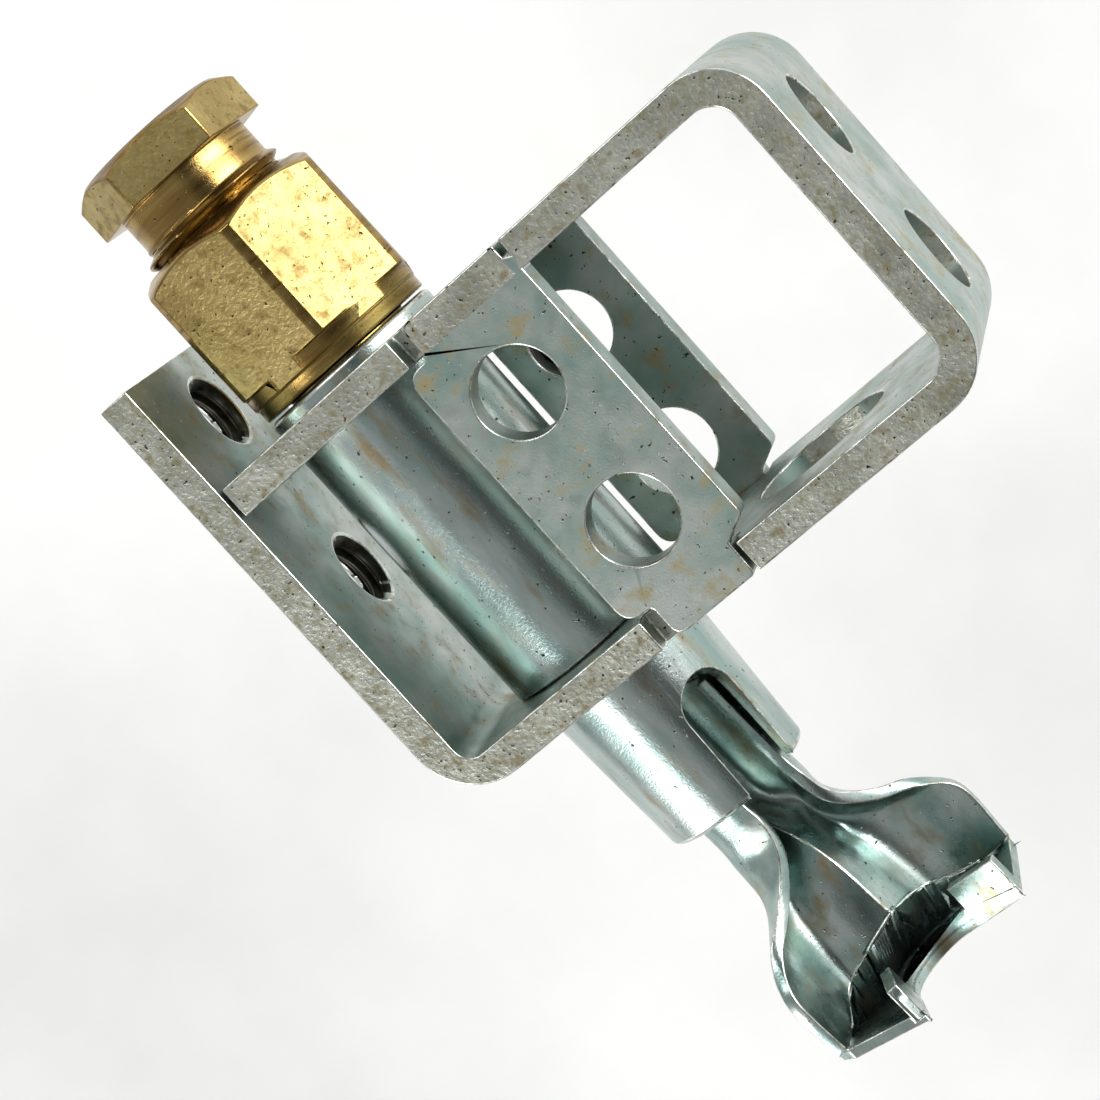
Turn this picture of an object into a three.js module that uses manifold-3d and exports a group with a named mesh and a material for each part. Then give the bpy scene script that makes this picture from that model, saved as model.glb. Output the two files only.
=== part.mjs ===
// Gas pilot burner: a bent steel bracket carries a burner tube with a brass compression
// inlet at one end and a pressed steel flame hood at the other.
//
// Frame, in millimetres: X runs from the mounting wall to the end wall of the loop, Y runs
// along the burner axis towards the inlet nut, and Z runs across the bracket's strip.
// The origin lies on the outer face of the mounting wall, midway between its tapped holes.

import * as THREE from 'three';
import { mergeVertices } from 'three/addons/utils/BufferGeometryUtils.js';
import Module from 'manifold-3d';

const wasm = await Module();
wasm.setup();

// ---------------------------------------------------------------- driving dimensions

const CLEARANCE = 0.3; // gap left between pieces that touch on the real object
const OVERLAP = 0.1; // how far solids that are joined into one reach into each other

const STRIP = {
  width: 19.05, // 3/4 inch strip
  thickness: 2.2,
  length: 43.3, // mounting wall to end wall, outside
  wallTop: 11.2, // free end of the mounting wall
  top: 2.9, // outer face of the flange nearer the inlet
  bottom: -21.85, // outer face of the flange nearer the hood
  bend: 4.0, // outer radius of the two loop bends
  wallBend: 4.4, // outer radius of the bend under the mounting wall
  wallCrease: 1.2, // inner radius of that bend
};

const TAPPED = { spacing: 13.5, radius: 2.08, sinkRadius: 2.7, sinkDepth: 0.6 };
const SENSOR_HOLE = { x: 29.95, radius: 4.95 };
const END_HOLES = { radius: 3.0, y: [-4.4, -15.05] };

const TAB = {
  left: 15.95,
  right: 25.9,
  neckLeft: 17.85,
  neckRightTop: 25.4,
  neckRightBottom: 24.1,
  holeX: 20.63,
  holeY: [-4.57, -14.73],
  holeRadius: 2.85,
  shoulder: 0.25, // distance of its shoulders from the flanges
  shoulderRadius: 1.3,
  neckRadius: 0.9,
  footRadius: 0.4,
  chamferLow: 0.9, // length of the cut corner nearer the hood
  chamferHigh: 1.2,
};
const RELIEF = { width: 1.2, depth: 1.6 };

const AXIS_X = 11.0; // burner axis
const TUBE = {
  top: 3.8,
  radius: 6.53,
  shoulder: -19.5,
  sleeveRadius: 5.97,
  sleeveTaperStart: -21.85,
  end: -33.2,
  endRadius: 5.42,
  socketRadius: 4.8,
  socketFloor: -7.0,
  throatRadius: 2.5,
  throatEnd: -25.9,
  throatCone: 1.2, // length of the cone into the throat
  hoodBore: 4.4,
  endChamfer: 0.25,
};
// The slot is open at the sleeve's end and starts at its apex, measured along s.
const SLOT = { facing: 45, halfWidth: 2.13, apex: 25.0 };

const BODY = {
  acrossFlats: 13.2,
  cornerDiameter: 14.8,
  facing: 43, // degrees from X towards Z of one flat's normal
  top: 15.33,
  skirtTop: 4.95,
  skirtBottom: 4.0,
  skirtRadius: 6.5,
  threadBore: 5.75,
  threadFloor: 7.9,
  seatRadius: 4.45,
  seatStart: 5.9,
  seatEnd: 4.6,
  pipeRadius: 3.35,
  pipeStop: 1.5,
  passageRadius: 2.1,
  spigotRadius: 4.6,
  spigotEnd: -3.5,
  chamfer: 0.9,
};

const NUT = {
  acrossFlats: 11.2,
  cornerDiameter: 12.8,
  facing: 15,
  top: 22.2,
  headBottom: 19.05,
  threadTop: 17.0,
  threadBottom: 10.3,
  rootRadius: 4.88,
  threadHeight: 0.65,
  pitch: 25.4 / 24, // 24 threads per inch
  flank: 0.42, // reach of one flank, in pitches
  crest: 1.25, // how much of the flank's height its flat crest cuts away
  fade: 0.65, // how far the thread runs in and out, in pitches
  runOut: 0.25,
  boreRadius: 3.3,
  boreSink: 0.6,
  chamfer: 0.75,
};

const FERRULE = {
  top: 10.0,
  bottom: 6.8,
  radius: 4.2,
  noseRadius: 3.5,
  boreRadius: 3.25,
  noseLength: 1.15,
  tailLength: 0.7,
};

const SPUD = {
  top: -3.9,
  headBottom: -6.7,
  headRadius: 4.55,
  noseBottom: -12.0,
  noseRadius: 2.2,
  chamberRadius: 1.2,
  chamberFloor: -10.9,
  jetRadius: 0.35,
  tipRadius: 1.3,
  tipLength: 1.2,
  headCone: 1.2, // length of the cone under the head
  drillPoint: 0.5, // length of the chamber's conical floor
};

// The hood has its own directions: u to its right, v out of its open front, s away from the inlet.
const HOOD = {
  facing: 45, // degrees from Z towards X of its open front
  lean: 2.9, // degrees that it leans to its right, as staked
  leanFrom: 32.0, // s of the point it leans about
  sheet: 0.8,
  start: 26.3, // where the stem begins inside the burner tube
  roof: 49.37, // inner face of the flat middle of the roof
  roofBack: -0.8,
  roofFold: 5.0, // the roof slopes back outside this distance from the middle
  roofSlope: 0.3,
  roofBackCorner: 6.6,
  wing: [9.3, 3.9], // u and v of the front corner of a wing
  wingBack: 2.4, // v where the roof's back edge meets the wing
  tip: [5.36, 7.28], // u and v of the roof's corner beside the notch
  notchSide: [3.3, 4.0],
  notchBack: 1.7,
  lipTop: 46.9,
  lowLipTop: 48.6,
  foldHalf: 7.4, // half the width over which the lower edge is folded under
};

const ROUND = 48; // sides of a visible round
const BORE_ROUND = 36; // sides of a large bore
const SMALL_ROUND = 24; // sides of a hole
const ARC_STEPS = 4; // half the steps in each drawn arc
const CHAMFER_REACH = 1.4; // how far a hexagon's chamfer reaches in, per length of it
const HOOD_ROWS = 23; // steps down the hood's pressed face
const HOOD_COLUMNS = 14; // steps across half of it
const NOTCH_BEND = 0.7; // how square the notch's back corners are, from 0 to 1

const COLOURS = {
  zinc: { color: 0x9aa5a3, roughness: 0.42, metalness: 0.9 },
  hoodZinc: { color: 0x8d9b99, roughness: 0.36, metalness: 0.9 },
  brass: { color: 0xb99a3f, roughness: 0.38, metalness: 0.95 },
  turnedBrass: { color: 0xc7a548, roughness: 0.3, metalness: 0.95 },
};

// ---------------------------------------------------------------- solids

/** Signed volume of an indexed triangle mesh, times six. */
function signedVolume(positions, indices) {
  let sum = 0;
  const corner = (n) => new THREE.Vector3().fromArray(positions, 3 * indices[n]);
  for (let n = 0; n < indices.length; n += 3) {
    sum += corner(n).dot(corner(n + 1).cross(corner(n + 2)));
  }
  return sum;
}

/** Turns a closed geometry into a solid, facing outwards whichever way it was wound. */
function solidOf(geometry) {
  const bare = geometry.clone();
  bare.deleteAttribute('normal');
  bare.deleteAttribute('uv');
  const merged = mergeVertices(bare, 1e-4);
  const positions = Float32Array.from(merged.attributes.position.array);
  const indices = [];
  for (let n = 0; n < merged.index.count; n += 3) {
    const [a, b, c] = [0, 1, 2].map((k) => merged.index.getX(n + k));
    if (a !== b && b !== c && c !== a) indices.push(a, b, c);
  }
  if (signedVolume(positions, indices) < 0) indices.reverse();
  return new wasm.Manifold(
    new wasm.Mesh({ numProp: 3, vertProperties: positions, triVerts: Uint32Array.from(indices) }),
  );
}

/** Turns a solid back into a geometry. */
function geometryOf(solid) {
  const mesh = solid.getMesh();
  const geometry = new THREE.BufferGeometry();
  geometry.setAttribute('position', new THREE.BufferAttribute(mesh.vertProperties, 3));
  geometry.setIndex(new THREE.BufferAttribute(mesh.triVerts, 1));
  geometry.computeVertexNormals();
  return geometry;
}

/** Joins several solids into one. */
const joined = (solids) => solids.reduce((whole, next) => whole.add(next));

/** Takes several solids out of one. */
const without = (solid, cuts) => cuts.reduce((rest, cut) => rest.subtract(cut), solid);

/** A box between two corners. */
function block([x0, y0, z0], [x1, y1, z1]) {
  const box = new THREE.BoxGeometry(x1 - x0, y1 - y0, z1 - z0);
  return solidOf(box.translate((x0 + x1) / 2, (y0 + y1) / 2, (z0 + z1) / 2));
}

/** A shape in the XY plane, pushed along Z from z0 to z1. */
function plate(shape, z0, z1) {
  const options = { depth: z1 - z0, bevelEnabled: false, curveSegments: ARC_STEPS };
  return solidOf(new THREE.ExtrudeGeometry(shape, options).translate(0, 0, z0));
}

/** A profile of [radius, y] pairs turned about the burner axis. */
function turned(profile, sides = ROUND) {
  const points = profile.map(([radius, y]) => new THREE.Vector2(radius, y));
  return solidOf(new THREE.LatheGeometry(points, sides).translate(AXIS_X, 0, 0));
}

/** A plain rod on the burner axis. */
function rod(radius, y0, y1, sides = ROUND) {
  return turned([[0, y0], [radius, y0], [radius, y1], [0, y1]], sides);
}

/** A rod along one axis, used as a drill. */
function drill(radius, length, centre, axis, sides = SMALL_ROUND) {
  const geometry = new THREE.CylinderGeometry(radius, radius, length, sides);
  if (axis === 'x') geometry.rotateZ(Math.PI / 2);
  if (axis === 'z') geometry.rotateX(Math.PI / 2);
  return solidOf(geometry.translate(...centre));
}

/** A closed outline through [x, y, cornerRadius] corners. */
function roundedShape(corners) {
  const shape = new THREE.Shape();
  const points = corners.map(([x, y]) => new THREE.Vector2(x, y));
  const towards = (from, to, distance) =>
    from.clone().add(to.clone().sub(from).setLength(distance));
  corners.forEach(([, , radius = 0], n) => {
    const corner = points[n];
    const before = towards(corner, points.at(n - 1), radius || 1e-9);
    const after = towards(corner, points[(n + 1) % points.length], radius || 1e-9);
    if (n === 0) shape.moveTo(before.x, before.y);
    else shape.lineTo(before.x, before.y);
    if (radius) shape.quadraticCurveTo(corner.x, corner.y, after.x, after.y);
  });
  return shape;
}

/** A hexagonal bar on the burner axis. */
function hexBar(acrossFlats, facing, y0, y1) {
  const shape = new THREE.Shape();
  for (let n = 0; n < 6; n += 1) {
    const angle = THREE.MathUtils.degToRad(facing + 30 + 60 * n);
    const radius = acrossFlats / Math.sqrt(3);
    const corner = [AXIS_X + radius * Math.cos(angle), radius * Math.sin(angle)];
    if (n === 0) shape.moveTo(...corner);
    else shape.lineTo(...corner);
  }
  const bar = new THREE.ExtrudeGeometry(shape, { depth: y1 - y0, bevelEnabled: false });
  return solidOf(bar.rotateX(Math.PI / 2).translate(0, y1, 0));
}

// ---------------------------------------------------------------- bracket

/** The strip's side view: mounting wall, two flanges and the end wall, bent from one piece. */
function stripOutline() {
  const { thickness: t, length, wallTop, top, bottom, bend, wallBend, wallCrease } = STRIP;
  const seam = t + CLEARANCE;
  const crease = t + wallCrease;
  const shape = new THREE.Shape();
  shape.moveTo(0, wallTop);
  shape.lineTo(0, bottom + wallBend);
  shape.absarc(wallBend, bottom + wallBend, wallBend, Math.PI, 1.5 * Math.PI);
  shape.absarc(length - bend, bottom + bend, bend, -Math.PI / 2, 0);
  shape.absarc(length - bend, top - bend, bend, 0, Math.PI / 2);
  shape.lineTo(seam, top);
  shape.lineTo(seam, top - t);
  shape.absarc(length - bend, top - bend, bend - t, Math.PI / 2, 0, true);
  shape.absarc(length - bend, bottom + bend, bend - t, 0, -Math.PI / 2, true);
  shape.absarc(crease, bottom + crease, wallCrease, -Math.PI / 2, -Math.PI, true);
  shape.lineTo(t, wallTop);
  return shape;
}

/** One tab that closes the strip's edge between the flanges, from z0 to z1. */
function tab(z0, z1) {
  const { left, right, neckLeft, neckRightTop, neckRightBottom, shoulder } = TAB;
  const { shoulderRadius, neckRadius, footRadius, chamferLow, chamferHigh } = TAB;
  const low = STRIP.bottom + STRIP.thickness + shoulder;
  const high = STRIP.top - STRIP.thickness - shoulder;
  const outline = roundedShape([
    [neckLeft, STRIP.bottom, neckRadius],
    [neckRightBottom, STRIP.bottom, footRadius],
    [neckRightBottom, low, 0],
    [right, low + chamferLow, footRadius],
    [right, high + chamferHigh, 0],
    [neckRightTop, high + chamferHigh + shoulder, 0],
    [neckRightTop, STRIP.top, footRadius],
    [neckLeft, STRIP.top, neckRadius],
    [neckLeft, high, footRadius],
    [left, high, shoulderRadius],
    [left, low, shoulderRadius],
    [neckLeft, low, footRadius],
  ]);
  const length = 2 * STRIP.thickness;
  const middle = (z0 + z1) / 2;
  const holes = TAB.holeY.map((y) => drill(TAB.holeRadius, length, [TAB.holeX, y, middle], 'z'));
  return without(plate(outline, z0, z1), holes);
}

/** The cuts at one edge of the strip: reliefs beside the tab's neck and a seat for its foot. */
function tabReliefs(side) {
  const edge = (STRIP.width / 2) * side;
  const over = edge + side;
  const depths = (depth) => [edge - depth * side, over].sort((a, b) => a - b);
  const { neckLeft, neckRightTop, neckRightBottom } = TAB;
  const slot = (x0, x1, y0, y1, depth) => {
    const [z0, z1] = depths(depth);
    return block([x0, y0, z0], [x1, y1, z1]);
  };
  const { top, bottom, thickness: t } = STRIP;
  const gap = CLEARANCE;
  return [
    slot(neckLeft - RELIEF.width, neckLeft, top - t - 1, top + 1, RELIEF.depth),
    slot(neckRightTop, TAB.right, top - t - 1, top + 1, t + gap),
    slot(neckLeft - RELIEF.width, neckLeft, bottom - 1, bottom + t + 1, RELIEF.depth),
    slot(neckLeft - gap, neckRightBottom + gap, bottom - 1, bottom + t + 1, t + gap),
  ];
}

/** A tapped hole through the mounting wall, countersunk on both faces. */
function tappedHole(y) {
  const { radius, sinkRadius, sinkDepth } = TAPPED;
  const t = STRIP.thickness;
  const sink = (x, flare) => {
    const cone = new THREE.CylinderGeometry(
      flare > 0 ? radius : sinkRadius,
      flare > 0 ? sinkRadius : radius,
      sinkDepth,
      SMALL_ROUND,
    );
    return solidOf(cone.rotateZ(Math.PI / 2).translate(x, y, 0));
  };
  const through = drill(radius, t + 2, [t / 2, y, 0], 'x');
  return joined([through, sink(sinkDepth / 2, 1), sink(t - sinkDepth / 2, -1)]);
}

/** The whole bracket, one bent and pierced strip. */
function mountingBracket() {
  const half = STRIP.width / 2;
  const t = STRIP.thickness;
  const { top, bottom, length } = STRIP;
  const strip = plate(stripOutline(), -half, half);
  const relieved = without(strip, [1, -1].flatMap(tabReliefs));
  const body = joined([relieved, tab(half - t, half), tab(-half, t - half)]);
  const height = top - bottom;
  const middle = (top + bottom) / 2;
  return without(body, [
    rod(TUBE.radius + CLEARANCE / 2, top - t - 1, top + 1),
    rod(TUBE.sleeveRadius + CLEARANCE / 2, bottom - 1, bottom + t + 1),
    drill(SENSOR_HOLE.radius, height + 2, [SENSOR_HOLE.x, middle, 0], 'y', BORE_ROUND),
    ...END_HOLES.y.map((y) => drill(END_HOLES.radius, t + 2, [length - t / 2, y, 0], 'x')),
    ...[-0.5, 0.5].map((side) => tappedHole(side * TAPPED.spacing)),
  ]);
}

// ---------------------------------------------------------------- burner tube and hood

/** Places what is drawn in u, v and s directions, with v facing the given angle from Z to X. */
function facingMatrix(degrees) {
  const angle = THREE.MathUtils.degToRad(degrees);
  const right = new THREE.Vector3(Math.cos(angle), 0, -Math.sin(angle));
  const front = new THREE.Vector3(Math.sin(angle), 0, Math.cos(angle));
  const away = new THREE.Vector3(0, -1, 0);
  return new THREE.Matrix4().makeBasis(right, front, away).setPosition(AXIS_X, 0, 0);
}

/** Places the hood, which leans to its right about a point inside the tube. */
function hoodMatrix() {
  const lean = new THREE.Matrix4().makeRotationY(THREE.MathUtils.degToRad(HOOD.lean));
  const down = new THREE.Matrix4().makeTranslation(0, 0, HOOD.leanFrom);
  const up = new THREE.Matrix4().makeTranslation(0, 0, -HOOD.leanFrom);
  return facingMatrix(HOOD.facing).multiply(down).multiply(lean).multiply(up);
}

/** The tube: a plain barrel between the flanges, then a tapered sleeve slotted at its end. */
function burnerTube() {
  const barrel = turned([
    [TUBE.socketRadius, TUBE.top],
    [TUBE.socketRadius, TUBE.socketFloor],
    [TUBE.throatRadius, TUBE.socketFloor - TUBE.throatCone],
    [TUBE.throatRadius, TUBE.throatEnd],
    [TUBE.hoodBore, TUBE.throatEnd],
    [TUBE.hoodBore, TUBE.end],
    [TUBE.endRadius - TUBE.endChamfer, TUBE.end],
    [TUBE.endRadius, TUBE.end + TUBE.endChamfer],
    [TUBE.sleeveRadius, TUBE.sleeveTaperStart],
    [TUBE.sleeveRadius, TUBE.shoulder],
    [TUBE.radius, TUBE.shoulder],
    [TUBE.radius, TUBE.top - TUBE.endChamfer],
    [TUBE.radius - TUBE.endChamfer, TUBE.top],
    [TUBE.socketRadius, TUBE.top],
  ]);
  const { facing, halfWidth, apex } = SLOT;
  const outline = new THREE.Shape();
  outline.absarc(0, apex + halfWidth, halfWidth, Math.PI, 2 * Math.PI);
  outline.lineTo(halfWidth, 1 - TUBE.end);
  outline.lineTo(-halfWidth, 1 - TUBE.end);
  const options = { depth: TUBE.radius, bevelEnabled: false, curveSegments: 2 * ARC_STEPS };
  const cutter = new THREE.ExtrudeGeometry(outline, options).translate(0, 0, halfWidth);
  // The outline is drawn as (u, s) and pushed along v, so its last two directions change places.
  const swap = new THREE.Matrix4().set(1, 0, 0, 0, 0, 0, 1, 0, 0, 1, 0, 0, 0, 0, 0, 1);
  return barrel.subtract(solidOf(cutter.applyMatrix4(swap).applyMatrix4(facingMatrix(facing))));
}

// Half sections of the hood's inner face, from the middle to the front edge: s, then [u, v] of
// the middle, the panel, the valley, the side and the edge.
const STEM = [[0, -3.0], [2.1, -2.15], [3.0, 0], [2.6, 1.5], [1.6, 2.55]];
const HOOD_SECTIONS = [
  { s: HOOD.start, half: STEM },
  { s: 33.4, half: STEM },
  { s: 35.0, half: [[0, -2.4], [1.9, -2.0], [3.0, -0.3], [2.6, 1.6], [1.6, 2.9]] },
  { s: 36.8, half: [[0, -0.2], [1.6, -1.2], [3.0, -0.8], [2.8, 1.2], [1.95, 2.95]] },
  { s: 38.1, half: [[0, 1.0], [1.4, 0.0], [3.0, -0.8], [3.4, 1.1], [2.7, 2.9]] },
  { s: 40.1, half: [[0, 2.0], [1.6, 1.0], [3.3, 0.0], [4.8, 1.2], [5.05, 2.9]] },
  { s: 41.5, half: [[0, 2.4], [1.9, 1.35], [3.7, 0.1], [6.2, 1.5], [7.6, 3.1]] },
  { s: 43.3, half: [[0, 2.6], [2.1, 1.55], [4.1, 0.3], [6.8, 1.9], HOOD.wing] },
  { s: 45.5, half: [[0, 2.8], [2.3, 1.75], [4.5, 0.4], [6.9, 2.0], HOOD.wing] },
];

// How far the lower edge drops below the last section, from the middle to the front edge.
const HOOD_DROP = [0, 0.55, 1.4, 2.5, 2.75];

/** A smooth curve through the values at even steps, sampled at fraction f. */
function through(values, f) {
  const curve = new THREE.CatmullRomCurve3(
    values.map((value) => new THREE.Vector3(...value)),
    false,
    'centripetal',
  );
  return curve.getPoint(f);
}

/** The hood's inner face, as rows of points across it from its left edge to its right edge. */
function hoodFace(rows, halfColumns) {
  const count = HOOD_SECTIONS[0].half.length;
  const lines = [];
  for (let k = 0; k < count; k += 1) {
    const points = HOOD_SECTIONS.map(({ s, half }) => [...half[k], s]);
    points.at(-1)[2] += HOOD_DROP[k];
    lines.push(points);
  }
  const face = [];
  for (let row = 0; row <= rows; row += 1) {
    const half = lines.map((line) => through(line, row / rows).toArray());
    const points = [];
    for (let column = -halfColumns; column <= halfColumns; column += 1) {
      const point = through(half, Math.abs(column) / halfColumns);
      if (column < 0) point.x = -point.x;
      points.push(point);
    }
    face.push(points);
  }
  return face;
}

/** A closed sheet made of a face of points and its copy, moved back by the sheet's thickness. */
function sheetSolid(face, thickness) {
  const rows = face.length;
  const columns = face[0].length;
  const at = (r, c) =>
    face[THREE.MathUtils.clamp(r, 0, rows - 1)][THREE.MathUtils.clamp(c, 0, columns - 1)];
  const back = face.map((line, r) => line.map((point, c) => {
    const down = at(r + 1, c).clone().sub(at(r - 1, c));
    const across = at(r, c + 1).clone().sub(at(r, c - 1));
    return point.clone().add(across.cross(down).setLength(thickness));
  }));
  const positions = [face, back].flatMap((side) => side.flat().flatMap((p) => p.toArray()));
  const index = (side, r, c) => side * rows * columns + r * columns + c;
  const indices = [];
  const quad = (a, b, c, d) => indices.push(a, b, c, a, c, d);
  for (let r = 0; r < rows - 1; r += 1) {
    for (let c = 0; c < columns - 1; c += 1) {
      quad(index(0, r, c), index(0, r, c + 1), index(0, r + 1, c + 1), index(0, r + 1, c));
      quad(index(1, r, c), index(1, r + 1, c), index(1, r + 1, c + 1), index(1, r, c + 1));
    }
    quad(index(0, r, 0), index(0, r + 1, 0), index(1, r + 1, 0), index(1, r, 0));
    const last = columns - 1;
    quad(index(0, r, last), index(1, r, last), index(1, r + 1, last), index(0, r + 1, last));
  }
  for (let c = 0; c < columns - 1; c += 1) {
    quad(index(0, 0, c), index(1, 0, c), index(1, 0, c + 1), index(0, 0, c + 1));
    const last = rows - 1;
    quad(index(0, last, c), index(0, last, c + 1), index(1, last, c + 1), index(1, last, c));
  }
  const geometry = new THREE.BufferGeometry();
  geometry.setAttribute('position', new THREE.Float32BufferAttribute(positions, 3));
  geometry.setIndex(indices);
  return solidOf(geometry);
}

/** Draws the notch's edge from one side (1 right, -1 left) to the other, moved outwards. */
function drawNotch(shape, outwards, side) {
  const u = side * (HOOD.notchSide[0] + outwards);
  const v = HOOD.notchSide[1];
  const back = HOOD.notchBack - outwards;
  shape.lineTo(u, v);
  shape.quadraticCurveTo(u * NOTCH_BEND, back, 0, back);
  shape.quadraticCurveTo(-u * NOTCH_BEND, back, -u, v);
}

/** The roof across the hood's far end, flat in the middle and sloped at both sides. */
function hoodRoof() {
  const { roof, roofBack, roofFold, roofSlope, roofBackCorner, wing, wingBack, tip, sheet } = HOOD;
  const middle = new THREE.Shape();
  middle.moveTo(-roofFold, roofBack);
  middle.lineTo(roofFold, roofBack);
  middle.lineTo(tip[0], tip[1]);
  drawNotch(middle, 0, 1);
  middle.lineTo(-tip[0], tip[1]);
  const parts = [plate(middle, roof, roof + sheet)];
  for (const side of [-1, 1]) {
    const flap = new THREE.Shape();
    flap.moveTo((roofFold - OVERLAP) * side, roofBack);
    flap.lineTo(roofBackCorner * side, roofBack);
    flap.lineTo(wing[0] * side, wingBack);
    flap.lineTo(wing[0] * side, wing[1]);
    flap.lineTo((tip[0] - OVERLAP) * side, tip[1]);
    const geometry = new THREE.ExtrudeGeometry(flap, { depth: sheet, bevelEnabled: false });
    // Each flap climbs back towards the inlet with its distance from the fold.
    const slope = new THREE.Matrix4();
    slope.elements[2] = -roofSlope * side;
    slope.elements[14] = roof + roofSlope * roofFold;
    parts.push(solidOf(geometry.applyMatrix4(slope)));
  }
  return joined(parts);
}

/** The upturned lips around the roof's notch: tall beside it and low behind it. */
function hoodLips() {
  const { roof, tip, notchSide, sheet, lipTop, lowLipTop } = HOOD;
  const root = roof + sheet / 4; // the lips start inside the roof
  const low = new THREE.Shape();
  low.moveTo(notchSide[0], notchSide[1]);
  drawNotch(low, 0, 1);
  drawNotch(low, sheet, -1);
  const parts = [plate(low, lowLipTop, root)];
  const [du, dv] = [tip[0] - notchSide[0], tip[1] - notchSide[1]];
  const across = new THREE.Vector2(dv, -du).setLength(sheet);
  for (const side of [-1, 1]) {
    const tall = new THREE.Shape();
    tall.moveTo(side * notchSide[0], notchSide[1]);
    tall.lineTo(side * tip[0], tip[1]);
    tall.lineTo(side * (tip[0] + across.x), tip[1] + across.y);
    tall.lineTo(side * (notchSide[0] + across.x), notchSide[1] + across.y);
    parts.push(plate(tall, lipTop, root));
  }
  return joined(parts);
}

/** The sheet folded under from the face's lower edge, back and down to the roof's back edge. */
function underFold(face) {
  const { roof, roofBack, roofFold, roofSlope, roofBackCorner, sheet } = HOOD;
  const edge = face.at(-1).filter((point) => Math.abs(point.x) < HOOD.foldHalf);
  const back = edge.map((point) => {
    const u = THREE.MathUtils.clamp(point.x, -roofBackCorner, roofBackCorner);
    const s = roof - roofSlope * Math.max(0, Math.abs(u) - roofFold);
    return new THREE.Vector3(u, roofBack, s + sheet / 2);
  });
  const start = edge.map((point, n) => point.clone().lerp(back[n], -OVERLAP / 2));
  return sheetSolid([start, back], sheet);
}

/** The flame hood: stem, spreading wings with a ridge between them, roof and lips. */
function flameHood() {
  const face = hoodFace(HOOD_ROWS, HOOD_COLUMNS);
  const shell = sheetSolid(face, HOOD.sheet);
  const whole = joined([shell, underFold(face), hoodRoof(), hoodLips()]);
  return solidOf(geometryOf(whole).applyMatrix4(hoodMatrix()));
}

// ---------------------------------------------------------------- brass pieces

/** A hexagon with its corners turned to a diameter and its outer end chamfered. */
function turnedHex({ acrossFlats, cornerDiameter, facing, chamfer }, y0, y1) {
  const radius = cornerDiameter / 2;
  const envelope = turned([
    [0, y0], [radius, y0], [radius, y1 - chamfer], [radius - CHAMFER_REACH * chamfer, y1], [0, y1],
  ]);
  return hexBar(acrossFlats, facing, y0, y1).intersect(envelope);
}

/** The inlet body: hexagon, skirt and the spigot that enters the burner tube. */
function inletBody() {
  const outside = joined([
    turnedHex(BODY, BODY.skirtTop, BODY.top),
    rod(BODY.skirtRadius, BODY.skirtBottom, BODY.skirtTop + OVERLAP),
    rod(BODY.spigotRadius, BODY.spigotEnd, BODY.skirtBottom + OVERLAP),
  ]);
  const bore = turned([
    [0, BODY.top + 1],
    [BODY.threadBore, BODY.top + 1],
    [BODY.threadBore, BODY.threadFloor],
    [BODY.seatRadius, BODY.threadFloor],
    [BODY.seatRadius, BODY.seatStart],
    [BODY.pipeRadius, BODY.seatEnd],
    [BODY.pipeRadius, BODY.pipeStop],
    [BODY.passageRadius, BODY.pipeStop],
    [BODY.passageRadius, BODY.spigotEnd - 1],
    [0, BODY.spigotEnd - 1],
  ], BORE_ROUND);
  return outside.subtract(bore);
}

/** The nut's threaded shank: a rod whose radius follows a helical ridge, fading out at its ends. */
function threadedShank() {
  const { threadTop, threadBottom, rootRadius, threadHeight, pitch } = NUT;
  const { flank, crest, fade, runOut } = NUT;
  const sides = BORE_ROUND;
  const stepsPerTurn = 6;
  const rows = Math.round(((threadTop - threadBottom) / pitch) * stepsPerTurn);
  const rise = (f, y) => {
    const phase = (((y / pitch - f) % 1) + 1) % 1;
    const slope = Math.max(0, 1 - Math.abs(phase - 0.5) / flank);
    const fromEnd = Math.min(threadTop - runOut - y, y - threadBottom);
    const faded = THREE.MathUtils.clamp(fromEnd / (fade * pitch), 0, 1);
    return threadHeight * Math.min(1, crest * slope) * faded;
  };
  const positions = [AXIS_X, threadBottom, 0, AXIS_X, threadTop, 0];
  const indices = [];
  const index = (row, side) => 2 + row * sides + (side % sides);
  for (let row = 0; row <= rows; row += 1) {
    const y = threadBottom + ((threadTop - threadBottom) * row) / rows;
    for (let side = 0; side < sides; side += 1) {
      const angle = (2 * Math.PI * side) / sides;
      const radius = rootRadius + rise(side / sides, y);
      positions.push(AXIS_X + radius * Math.cos(angle), y, -radius * Math.sin(angle));
    }
  }
  for (let side = 0; side < sides; side += 1) {
    indices.push(0, index(0, side + 1), index(0, side));
    indices.push(1, index(rows, side), index(rows, side + 1));
    for (let row = 0; row < rows; row += 1) {
      const [a, b] = [index(row, side), index(row, side + 1)];
      const [c, d] = [index(row + 1, side + 1), index(row + 1, side)];
      indices.push(a, b, c, a, c, d);
    }
  }
  const geometry = new THREE.BufferGeometry();
  geometry.setAttribute('position', new THREE.Float32BufferAttribute(positions, 3));
  geometry.setIndex(indices);
  return solidOf(geometry);
}

/** The compression nut: hexagonal head, plain neck and threaded shank, bored for the gas pipe. */
function compressionNut() {
  const outside = joined([
    turnedHex(NUT, NUT.headBottom, NUT.top),
    rod(NUT.rootRadius, NUT.threadTop - OVERLAP, NUT.headBottom + OVERLAP),
    threadedShank(),
  ]);
  const bore = turned([
    [0, NUT.top + 1],
    [NUT.boreRadius + NUT.boreSink + 1, NUT.top + 1],
    [NUT.boreRadius, NUT.top - NUT.boreSink],
    [NUT.boreRadius, NUT.threadBottom - 1],
    [0, NUT.threadBottom - 1],
  ], BORE_ROUND);
  return outside.subtract(bore);
}

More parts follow.
